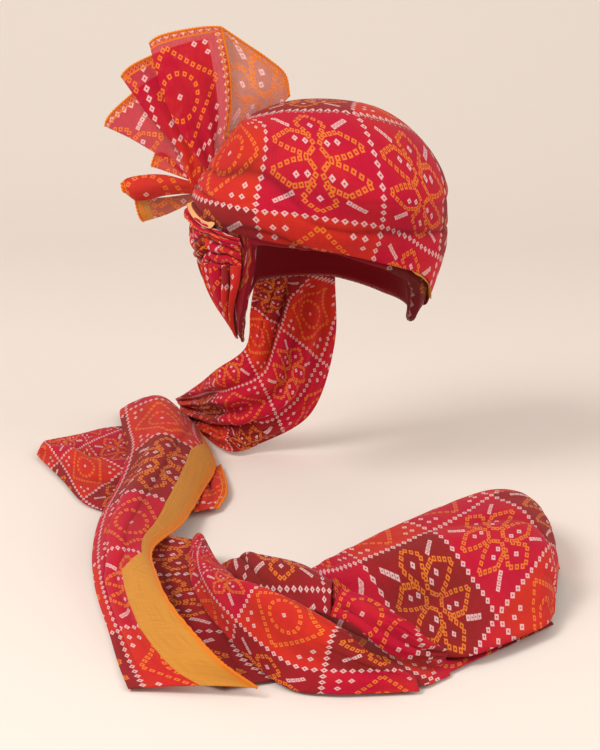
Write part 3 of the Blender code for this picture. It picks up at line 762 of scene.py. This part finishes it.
# Cotton's own constants, the stretch of its threads on the print, and the hem's zigzag and its lines of thread
COTTON = {"Roughness": 0.82, "Sheen Weight": 0.05, "Sheen Roughness": 0.45, "Specular IOR Level": 0.15}
THREADS = (110.0, 3.0)
ZIGZAG = 0.0042
STITCH_LINE, EDGE_LINE, SEAM_LINE, SOFT = 0.0008, 0.0013, 0.0007, 0.0006


def cloth_finish(name, looks=None, cover=1.0, plain=None, second=None, end_band=0.0, dark="maroon", lozenges=1.0,
                 valleys=0.0):
    """Fine cotton: the print or a plain dye, slub threads, an overlocked hem, and a cover below one if sheer; sheer
    cloth gets painted light and valleys get painted shade.
    """
    material, shader = new_material(name, COTTON)
    tree = material.node_tree
    u, v, place = read_map(tree, "print")
    warp, weft = (noise(tree, stretched(tree, place, *way), 1.0) for way in (THREADS, THREADS[::-1]))
    slub = warp.most(weft)
    if plain:
        colour = mixed(tree, slub.math("MULTIPLY_ADD", 1.5, -0.62, clamp=True), plain, second or plain)
    else:
        colour, dots = printed(tree, place, u, v, slub, looks, dark, lozenges)
    # Slub threads darken the colour a little; sheer cloth is painted brighter the less it covers, as painted light
    # shining through it
    colour = brightened(tree, colour, slub.math("MULTIPLY_ADD", -0.55, 1.30 + 0.65 * (1.0 - cover)))
    # Painted shade: the colour darkens with the depth that the shade map gives
    if valleys:
        depth = read_map(tree, "shade")[0]
        colour = brightened(tree, colour, depth.math("MULTIPLY_ADD", -valleys, 1.0))

    # The hem: a zigzag stitch between the edge and a seam line, in its own thread
    off, run, _ = read_map(tree, "hem")
    zigzag = (run * (1 / ZIGZAG)).math("PINGPONG", 0.5) * (2 * HEM * 0.8)
    if end_band:
        colour = mixed(tree, off.inside(end_band, SOFT), colour, "border")
    stitch = (off - zigzag - SOFT).size().inside(STITCH_LINE, SOFT).most(off.inside(EDGE_LINE, SOFT))
    seam = (off - HEM).size().inside(SEAM_LINE, 0.0005)
    thread = stitch.most(seam) * off.inside(HEM + 0.0008, 0.0004)
    tree.links.new(mixed(tree, thread, colour, "hem thread"), shader.inputs["Base Color"])
    bump = tree.nodes.new("ShaderNodeBump")
    bump.inputs["Strength"].default_value = 0.35
    bump.inputs["Distance"].default_value = 0.0004
    tree.links.new((slub + thread * 0.8).socket, bump.inputs["Height"])
    tree.links.new(bump.outputs[0], shader.inputs["Normal"])
    if cover < 1.0:
        fullness = slub.math("MULTIPLY_ADD", 0.22, cover - 0.11, clamp=True).most(dots * 0.92)
        tree.links.new(fullness.most(thread * 0.95).socket, shader.inputs["Alpha"])
    return material


SLOTS = {row["node"]: row["material_slot"] for row in frame["record"]["subparts"]}


def place_piece(piece, material, node=None):
    """Gives the piece its finish and lets it ride on the turban's one body, in place of its node if it has one."""
    piece.data.materials.append(material)
    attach(piece, "root")
    if node in SLOTS:
        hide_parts(node)


def surface_area(grid):
    """Sum of the areas of a point grid's quads."""
    steps = np.diff(grid[:, :-1], axis=0), np.diff(grid[:-1], axis=1)
    return float(np.linalg.norm(np.cross(*steps), axis=-1).sum())


def declare(middle, back=None):
    """Works out the piece's sheet size: cut to its own length and width, its area the mean of front and back; the
    numbers are not used further.
    """
    across, along = lengths(middle)
    area = np.mean([surface_area(middle), surface_area(middle if back is None else back)])
    width, length = max(float(across[:, -1].max()), 0.0105), float(along[-1, 0])
    area = float(min(max(area, 0.305 * width * length), width * length))


def hem_places(middle, edges):
    """Distance from the nearest hemmed edge, and length along it. edges names first, last, start and end."""
    across, along = lengths(middle)
    width = across[:, -1:]
    choices = {
        "left": (across, along), "right": (width - across, along),
        "start": (along, across), "end": (along[-1:] - along, across),
    }
    off, run = np.full_like(across, NO_HEM), along
    for edge in edges:
        distance, place = choices[edge]
        run = np.where(distance < off, place, run)
        off = np.minimum(off, distance)
    return np.stack([off, run], -1)


def lay_down(name, middle, lay, hems, finish, thickness=SHEET, shade=None):
    """Makes a piece's sheet with its finish and stitches a cord along each hemmed edge."""
    piece = cloth_sheet(f"{name}_cloth", middle, lay, hem_places(middle, hems), thickness, shade)
    place_piece(piece, finish, name)
    declare(middle)
    lines = {"left": middle[:, 0], "right": middle[:, -1], "start": middle[0], "end": middle[-1]}
    for edge in hems:
        place_piece(cord(f"{name}_{edge}_hem", lines[edge]), hem_thread)


hem_thread = cloth_finish("hem_thread", plain="hem thread")


def lay_print(name, middle):
    """Place on the print: cells across and along, in straight proportion to the cloth's own lengths."""
    across, along = lengths(middle)
    a, b, c, d, e, f = PRINT[name][:6]
    return np.stack([a * across + b * along + c, d * across + e * along + f], -1)


def crown():
    """The outer cloth: rings from the top to the upper pattern line, on to the lower one, and on to its rim."""
    top_rows, mid_rows, low_rows = 34, 50, 18
    turn = 90.0 + np.arange(RING_TURNS + 1) * 360.0 / RING_TURNS
    wrapped = turn % 360.0
    rim = edge_height(CROWN_RIM, wrapped) * CROWN_RISE
    top = edge_height(TOP_LINE, wrapped)
    low = np.maximum(edge_height(LOW_LINE, wrapped), rim + 0.002)
    top_row, low_row, rim_row = row_at_height(top), row_at_height(low), row_at_height(rim)
    share, mid, end = (np.linspace(0.0, 1.0, rows)[:, None] for rows in (top_rows, mid_rows, low_rows))
    mid, end = mid[1:], end[1:]
    where = np.concatenate([top_row * share, top_row * (1 - mid) + low_row * mid, low_row * (1 - end) + rim_row * end])
    full_turn = np.broadcast_to(turn[None], where.shape)
    surface = on_turban(full_turn, where, 0.0)
    drop = running(step_lengths(surface))
    low_index = top_rows + mid_rows - 2
    under = (drop - drop[low_index]) / CELL
    v = np.concatenate([0 * under[:top_rows], 1 - mid + 0 * under[:len(mid)], -under[low_index + 1:]])
    # Between the two pattern lines the columns swing from their low turns to their top turns
    columns, low_turns, top_turns = np.transpose(COLUMNS)
    u = np.zeros_like(v)
    for row in range(top_rows - 1, len(where)):
        pull = np.clip(1.0 if row < top_rows else v[row, 0], 0.0, 1.0) ** 5
        u[row] = np.interp(turn, low_turns * (1 - pull) + top_turns * pull, columns)
    # Over the top the print lies flat, as seen from above, and eases into the ring of cells at the front
    x, y = surface[:top_rows, :, 0], surface[:top_rows, :, 1]
    line_y = -0.047 + 0.038 * (np.abs(x - 0.014) / 0.077) ** 3
    flat_u = (x + 0.063) / 0.098
    front = ((turn >= FRONT_TURNS[0]) & (turn <= FRONT_TURNS[1]))[None]
    ease = share ** 4 * front
    u[:top_rows] = flat_u * (1 - ease) + u[top_rows - 1] * ease
    flat_v = 2.0 + (y - line_y) / CELL
    v[:top_rows] = flat_v * (1 - ease) + 2.0 * ease
    lay = np.stack([u, v], -1)
    creases = crown_creases(surface)
    outer = surface[:, :-1] + normals_round(surface[:, :-1]) * creases[:, :-1, None]
    inner = outer - normals_round(outer) * SHEET
    # Painted shade: the deeper a crease, the darker its colour, full at the crease limit
    dark = np.clip(-creases[:, :-1] / CREASE_LIMIT, 0.0, 1.0)
    piece = round_shell("crown_cloth", outer[::-1], inner[::-1], lay[::-1], dark[::-1])
    finish = cloth_finish("crown_swath", CROWN_LOOKS, lozenges=0.0, valleys=PAINTED_SHADE["crown"])
    place_piece(piece, finish, "crown_swath")


def normals_round(rings):
    """Outward unit normals of closed rings, with the pole's set straight up."""
    along = np.gradient(rings, axis=0)
    around = np.roll(rings, -1, axis=1) - np.roll(rings, 1, axis=1)
    normal = np.cross(along, around)
    size = np.linalg.norm(normal, axis=-1, keepdims=True)
    normal = np.where(size > 1e-12, unit(normal), [0.0, 0.0, 1.0])
    return normal * np.sign((normal * (rings - [0.0, 0.0, -0.1])).sum(-1, keepdims=True))


def creased(phase):
    """Folds of pressed cloth: flat with narrow valleys, minus the cube of one less a sine's absolute value."""
    return -(1 - np.abs(np.sin(phase))) ** 3


# Depth to which the creases of the crown may reach before the under layers would show
CREASE_LIMIT = 0.0027
# Place at the left shoulder where the crown's cloth gathers under the plume
GATHER_POINT = (-0.112, -0.035, 0.045)


def crown_creases(surface):
    """Height of folds over the crown: narrow ones that gather at the left shoulder, and long ones along the wrap."""
    x, y, z = surface[..., 0], surface[..., 1], surface[..., 2]
    reach = np.linalg.norm(surface - GATHER_POINT, axis=-1)
    bearing = np.arctan2(z - 0.045, x + 0.150)
    gathered = creased(bearing * 9.0 + 0.8 * np.sin(reach / 0.03)) * np.exp(-(reach / 0.085) ** 2) * 0.0030
    calm = np.clip((0.118 - z) / 0.03, 0.0, 1.0)
    slant = z + 0.12 * x
    sway = 0.9 * np.sin(x / 0.045) + 0.4 * np.sin(x / 0.019 + 1.0)
    long_folds = creased(slant / 0.0085 + sway) * np.exp(-((z - 0.012) / 0.026) ** 2) * 0.0026
    patchy = 0.5 + 0.5 * np.sin(x / 0.031 + z / 0.02)
    soft = creased(slant / 0.0150 + 1.6 * sway + 1.0) * np.exp(-((z - 0.060) / 0.030) ** 2) * 0.0024 * patchy
    wide = 0.0012 * np.sin(slant / 0.011 + 2.0 * np.sin(x / 0.06)) * np.exp(-((z - 0.03) / 0.04) ** 2)
    return (gathered + long_folds + soft + wide).clip(-CREASE_LIMIT) * calm * (y < 0.09)


def under_layers():
    """The wound layers under the outer cloth: outline outside, stepped by each turn, a rounded rim, and the hollow."""
    rings, bends = 70, 14
    turn = (np.arange(RING_TURNS) * 360.0 / RING_TURNS)[None, :]
    crown_rim = edge_height(CROWN_RIM, turn) * CROWN_RISE
    rim = np.minimum(edge_height(WRAP_RIM, turn) * CROWN_RISE, crown_rim)
    where = row_at_height(rim) * (1 - np.linspace(0.0, 1.0, rings)[:, None])
    outer = on_turban(turn, where, CLOTH + WRAP_FIT + 0.0012)
    outer = outer - normals_round(outer) * (0.0006 * ((outer[..., 2] / 0.017 + turn / 360.0) % 1.0))[..., None]
    share = np.linspace(0.0, 1.0, rings + bends - 2)[:, None]
    inner = on_hollow(turn, np.sin(share * np.pi / 2), rim)
    wound = 0.0005 * ((inner[..., 2] / 0.022 + turn / 360.0) % 1.0)
    inner = inner + np.stack([np.cos(np.radians(turn)), np.sin(np.radians(turn)), 0 * turn], -1) * wound[..., None]
    # The wall thins toward its rim, which rolls over from the hollow to the outside, layer upon layer
    thin = RIM_THIN * np.exp(-(share / RIM_REACH) ** 2)[..., None]
    inner = inner * (1 - thin) + outer[0] * thin + (inner - inner[0]) * thin
    wall = inner[0] - outer[0]
    away = unit(np.cross(np.roll(outer[0], -1, axis=0) - np.roll(outer[0], 1, axis=0), wall))
    away *= np.sign((away * (outer[0] - outer[2])).sum(-1, keepdims=True))
    bend = np.linspace(0.0, 1.0, bends)[1:-1, None, None]
    bulge = np.minimum(np.linalg.norm(wall, axis=-1, keepdims=True) / 2, RIM_BULGE)
    layers = LAYER_STEP * np.abs(np.cos(np.pi * RIM_LAYERS * bend))
    roll = inner[0] * (1 - bend) + outer[0] * bend + away * ((1 - (2 * bend - 1) ** 2) ** 0.5 * bulge + layers)
    outer = np.concatenate([roll, outer])
    height = running(step_lengths(outer).mean(axis=1))[:, None] + 0 * turn
    lay = np.stack([turn / CELL_TURN + 0 * height, height / CELL], -1)
    lay = np.concatenate([lay, lay[:, :1] + [[[WRAP_CELLS, 0.0]]]], axis=1)
    # The hollow takes its dye from one small spot of the print, without dots
    plain_spot = 0.5 + 0.012 * (lay / WRAP_CELLS - 0.5)
    # The whole piece, outside and hollow, gets an even painted shade, as cloth that lies under the outer cloth
    piece = round_shell("wound_layers", outer, inner, lay, np.ones(outer.shape[:2]), plain_spot)
    place_piece(piece, cloth_finish("under_layers", CROWN_LOOKS, valleys=PAINTED_SHADE["under"]), "under_wrap")


EDGE_STRIPS = {
    # first turn, last turn, width, dye
    "left_edge_fold": (187.0, 218.0, 0.0034, "peach"),
    "right_edge_hem": (319.0, 346.0, 0.0036, "border"),
}
EDGE_SHEET = 0.0005


def edge_strips():
    """Narrow hems that show past the lower edge of the outer cloth: strips that are widest at their middle."""
    for name, (first, last, width, dye) in EDGE_STRIPS.items():
        turn = np.linspace(first, last, 70)[:, None]
        side = np.linspace(0.0, 1.0, 8)[None, :]
        rim = edge_height(CROWN_RIM, turn % 360.0) * CROWN_RISE
        drop = width * np.sin(np.pi * (turn - first) / (last - first)).clip(0.0) ** 0.5
        height = rim + 0.0075 - (0.0080 + drop) * side
        middle = on_turban(turn + 0 * side, row_at_height(height), 0.0034 - 0.0058 * side ** 3)
        across, along = lengths(middle)
        hem = np.stack([NO_HEM + 0 * across, along], -1)
        piece = cloth_sheet(name, middle, np.stack([across * 9, along * 9], -1), hem, EDGE_SHEET)
        place_piece(piece, cloth_finish(f"{name}_finish", plain=dye))
        declare(middle)


# Ridges of the gathered pieces: how many lie side by side, and how many places they drift over the length
SIDE_RIDGES = {
    "side_roll_1": (2.0, 0.6), "side_roll_2": (4.0, 1.6), "side_roll_3": (3.0, -1.2), "side_roll_4": (3.0, -1.2),
    "side_fold_1": (2.0, -1.2), "side_fold_2": (1.5, 0.9), "side_fold_3": (2.0, -1.0), "side_fold_4": (1.5, 0.5),
}
# Look of the first cell of each gathered piece, in the order of the pieces
SIDE_LOOKS = (0, 0, 3, 2, 0, 2, 0, 2)


def side_fold(name, rows, left, right, number):
    """Gathered fold on the under layers: ridges with round tops and sharp valleys, the absolute value of a cosine, and
    the painted shade of the valleys.
    """
    along, across = SIDE_GRID
    row = smooth(rows, np.linspace(0.0, len(rows) - 1.0, along))[:, None, :]
    share = (left + (right - left) * np.linspace(0.0, 1.0, across))[None, :]
    turn = 180.0 + row[..., 0] * (1 - share) + row[..., 2] * share
    low_end = row[..., 3] - (0.035 * np.abs(np.sin(0.16 * turn + number)) + 0.02 if "roll" in name else 0.0)
    height = (row[..., 1] * (1 - share) + low_end * share) * CROWN_RISE
    where = row_at_height(height)
    side = np.linspace(0.0, 1.0, across)[None, :]
    run = np.linspace(0.0, 1.0, along)[:, None]
    ridges, drift = SIDE_RIDGES[name]
    phase = ridges * side + drift * run + 0.30 * np.sin(4.3 * run + 2.1 * number) * np.sin(np.pi * side)
    ends = (1 - (2 * run - 1) ** 10) if "roll" in name else 1.0
    ridge = np.sin(np.pi * side).clip(0.0) ** 0.45 * ends
    size = 0.80 + 0.25 * np.sin(2.4 * np.floor(phase) + number)
    proud = row[..., 4] * FOLD_PROUD * ridge * (0.40 + 1.15 * size * np.abs(np.sin(np.pi * phase)) ** 0.8)
    base = on_turban(turn, where, CLOTH)
    top = on_turban(turn, where, CLOTH - proud)
    strand = np.floor(phase)
    lay = np.stack([side * 0.42 + 0.37 * strand + 0.31 * number, run * 0.75 + 0.23 * strand + 0.4 * number], -1)
    # Painted shade in the sharp valleys between the ridges, darkest at their bottom
    valley_shade = np.exp(-(np.abs(np.sin(np.pi * phase)) / 0.32) ** 2) * np.ones_like(side)
    return base, top, lay, valley_shade


def side_gathers():
    """The short rolls and the long folds at the left side, each closed against the under layers."""
    edges = list(zip(SIDE_FAN_SHARES, SIDE_FAN_SHARES[1:]))
    jobs = [(name, rows, 0.0, 1.0) for name, rows in SIDE_ROLLS.items()]
    jobs += [(f"side_fold_{n}", SIDE_FAN, a + FAN_SLIT, b - FAN_SLIT) for n, (a, b) in enumerate(edges, start=1)]
    for number, (name, rows, left, right) in enumerate(jobs):
        base, top, lay, valley_shade = side_fold(name, rows, left, right, number)
        piece = turned_outward(closed_pair(f"{name}_cloth", top, base, lay, shade=valley_shade))
        # The first cell's look, whatever the cell in which the piece's print begins
        first = SIDE_LOOKS[number] - int(0.31 * number) - int(0.4 * number)
        place_piece(piece, cloth_finish(f"{name}_print", (1, 1, first), valleys=PAINTED_SHADE["side"]), name)
        declare(top, base)


# Pleats: how many waves lie side by side, how deep they are, how far the cloth covers what is behind, and its hems
PLEATS = {
    "plume_tab": (1.0, 0.0012, 0.80, ("end",)),
    "plume_loop": (1.0, 0.0010, 0.88, ("end",)),
    "plume_corner": (1.5, 0.0012, 0.70, ("end",)),
    "plume_pleat_left": (2.0, 0.0030, 0.70, ("end",)),
    "plume_pleat_middle": (2.5, 0.0030, 0.76, ("end",)),
    "plume_pleat_tall": (2.5, 0.0030, 0.64, ("end", "left")),
    "plume_wing": (1.5, 0.0016, 0.58, ("left",)),
}
END_BAND = 0.012
# Hem of a pleat, in shares of its width: how far its middle bows outward, and how far its left corner is rounded off
HEM_BOW = 0.055
HEM_CORNER = 0.045


def plume():
    """The fan of pleats: each pleat's surface with small starched waves that grow toward its hem."""
    for number, (name, rows) in enumerate(PLUME.items()):
        pleats, depth, cover, hems = PLEATS[name]
        rows = np.asarray(rows)
        if name == "plume_wing":
            rows = rows - [[0.0, 0.0, 0.0, 0.0, 0.0, 0.045, 0.0]]
        else:
            # A row more carries the foot of the pleat on into the crown
            root = rows[0] - 0.30 * (rows[1] - rows[0])
            rows = np.vstack([root + [0.030, 0.0, 0.0, 0.0, 0.0, -0.010, 0.0], rows])
        middle = strip(rows * PLUME_RISE, *PLEAT_GRID, (0.0, -1.0, 0.0))
        across, along = lengths(middle)
        side, run = across / across[:, -1:], along / along.max()
        calm = np.sin(np.pi * side).clip(0.0) ** 0.5
        rays = np.sin(2 * np.pi * (pleats * side + 0.12 * np.sin(5.0 * run + number)))
        rays = rays * np.sin(np.pi * run ** 0.7).clip(0.0)
        grow = 0.0 if name == "plume_wing" else ripple(across, along, 11 + number) * 0.0008 * run
        middle = middle + normals(middle) * ((grow + rays * depth) * calm)[..., None]
        onward = unit(np.gradient(middle, axis=0))
        bow = HEM_BOW * (1 - np.abs(2 * side - 1) ** 2.5) - HEM_CORNER * side ** 14
        middle = middle + onward * (bow * across[-1, -1] * run ** 8)[..., None]
        band = END_BAND if name == "plume_tab" else 0.0
        finish = cloth_finish(f"{name}_print", PRINT[name][6:], cover, end_band=band, dark="warm maroon")
        lay_down(name, middle, lay_print(name, middle), hems, finish, PLEAT_SHEET)


# Depth of the dip in the right end puff, and the depth at which its shade is full
PUFF_DIP = 0.014
PUFF_DARK = 0.016


def tail_folds(name, across, along, number):
    """Height of soft folds: a cosine's absolute value drifting over the length, fine waves, and the end puff's dip."""
    side, run = across / np.maximum(across[:, -1:], 1e-6), along / along.max()
    count, drift, depth = FOLDS[name][:3]
    phase = count * side + drift * run + 0.25 * np.sin(4.0 * run + number) + 0.1 * np.sin(9.0 * run + 2.0 * number)
    patchy = 0.55 + 0.45 * np.sin(7.0 * run + 5.0 * side + number)
    height = depth * (0.8 * np.sin(2 * np.pi * phase) + 1.5 * patchy * creased(1.7 * np.pi * phase + number))
    height = height + 0.30 * depth * ripple(across, along, 31 + number)
    if name == "tail_end":
        height = height - PUFF_DIP * np.exp(-((side - 0.21) / 0.075) ** 2 - ((run - 0.37) / 0.15) ** 2)
        height = height - 0.0050 * np.exp(-((side - 0.075) / 0.022) ** 2)
    return height * np.sin(np.pi * side).clip(0.0) ** 0.7 * (1 - (2 * run - 1) ** 10)


def folded(name, middle, number):
    """The piece's surface with its folds, and the painted shade of their valleys."""
    folds = tail_folds(name, *lengths(middle), number)
    deepest = PUFF_DARK if name == "tail_end" else 2.0 * FOLDS[name][2]
    return middle + normals(middle) * folds[..., None], np.clip(-folds / deepest, 0.0, 1.0)


def tail():
    """The free end: the part's pieces on a finer grid, with soft folds that fade out at their edges."""
    up = (0.0, 0.0, 1.0)
    scale = np.array([TAIL_SPAN, TAIL_SPAN, PUFF_RISE, TAIL_SPAN, TAIL_SPAN, PUFF_RISE, PUFF_RISE])
    floor = np.array([0.0, 0.0, FLOOR_DROP, 0.0, 0.0, FLOOR_DROP, 0.0])
    for number, (name, rows) in enumerate(TAIL.items()):
        hangs = name == "tail_root"
        flat = strip(np.asarray(rows) * scale - floor, *TAIL_GRID, (0.0, -1.0, 0.0) if hangs else up)
        # Painted shade darkens the valleys of the folds and the end puff's dip
        middle, dark = folded(name, flat, number)
        cover, hems = FOLDS[name][3:]
        finish = cloth_finish(f"{name}_print", PRINT[name][6:], cover, valleys=PAINTED_SHADE["tail"])
        lay_down(name, middle, lay_print(name, middle), hems, finish, shade=dark)

    # The broad fold and its gold band share one surface, split along the line at which the band starts
    over = np.asarray(TAIL_OVER) * scale - floor
    where = np.linspace(0.0, len(over) - 1.0, OVER_ROWS)
    start = np.interp(where, *np.transpose(BAND_START))
    cells = np.interp(where, *np.transpose(OVER_CELLS))[:, None]

    def over_print(sheet):
        across = lengths(sheet)[0]
        return np.stack([across * 10.5 - 0.12, cells + 0 * across], -1)

    flat = strip(over, OVER_ROWS, OVER_COLUMNS, up, 0.0, start)
    middle, dark = folded("tail_over", flat, 70)
    finish = cloth_finish("tail_over_print", OVER_LOOKS, valleys=PAINTED_SHADE["tail"])
    lay_down("tail_over", middle, over_print(flat), (), finish, shade=dark)
    band = strip(over, OVER_ROWS, BAND_COLUMNS, up, start, 1.0)
    finish = cloth_finish("gold_border_cloth", plain="border", second="border slub")
    lay_down("tail_border", band, over_print(band), ("right",), finish)


PAPER = {"Base Color": (0.865, 0.772, 0.695, 1.0), "Roughness": 0.9, "Specular IOR Level": 0.1}


def studio():
    """Pale floor that sweeps up into the wall behind: a straight run, a quarter round and a straight rise."""
    bend = np.linspace(0.0, np.pi / 2, 24)
    run = np.concatenate([[-3.0, 0.0], 1.3 + 1.2 * np.sin(bend), [2.5]])
    rise = np.concatenate([[0.0, 0.0], 1.2 * (1 - np.cos(bend)), [4.0]]) - FLOOR_DROP
    x = np.linspace(-5.0, 5.0, 9)[None]
    points = np.stack(np.broadcast_arrays(x, run[:, None], rise[:, None]), -1)
    faces = grid_faces(len(run), 9, False)[:, ::-1]
    zero = np.zeros((faces.size, 2))
    floor = finish_mesh("studio_floor", points.reshape(-1, 3), faces, {"print": zero})
    floor.data.materials.append(new_material("pale_paper", PAPER)[0])


def lamp(name, place, aim, size, power, colour):
    """Square soft light that faces a point."""
    light = bpy.data.lights.new(name, "AREA")
    light.shape, light.size, light.energy, light.color = "SQUARE", size, power, colour
    away = np.asarray(place) - np.asarray(aim)
    tilt, turn = math.atan2(math.hypot(away[0], away[1]), away[2]), math.atan2(away[0], -away[1])
    placed(name, light, place, (tilt, 0.0, turn))


def lights_and_camera():
    """Window-like light from the upper left, a weak fill from the right, and the photograph's view."""
    lamp("window", (-1.7, -1.5, 1.9), (0.0, -0.05, -0.05), 1.1, 52.0, (1.0, 0.985, 0.965))
    lamp("fill", (1.9, -1.3, 1.0), (0.0, 0.0, 0.0), 1.6, 18.0, (1.0, 0.97, 0.95))
    world = bpy.data.worlds.new("room")
    bpy.context.scene.world = world
    world.use_nodes = True
    sky = world.node_tree.nodes["Background"]
    sky.inputs["Color"].default_value, sky.inputs["Strength"].default_value = (1.0, 0.975, 0.95, 1.0), 0.65
    camera = bpy.data.cameras.new("camera")
    camera.lens, camera.sensor_width, camera.clip_start = 85.0, 36.0, 0.05
    tilt = math.radians(75.3)
    bpy.context.scene.camera = placed("camera", camera, (-0.0163, -1.617, 0.2856), (tilt, 0.0, 0.0))
    bpy.context.scene.view_settings.view_transform = "Standard"


crown()
under_layers()
edge_strips()
side_gathers()
plume()
tail()
studio()
lights_and_camera()
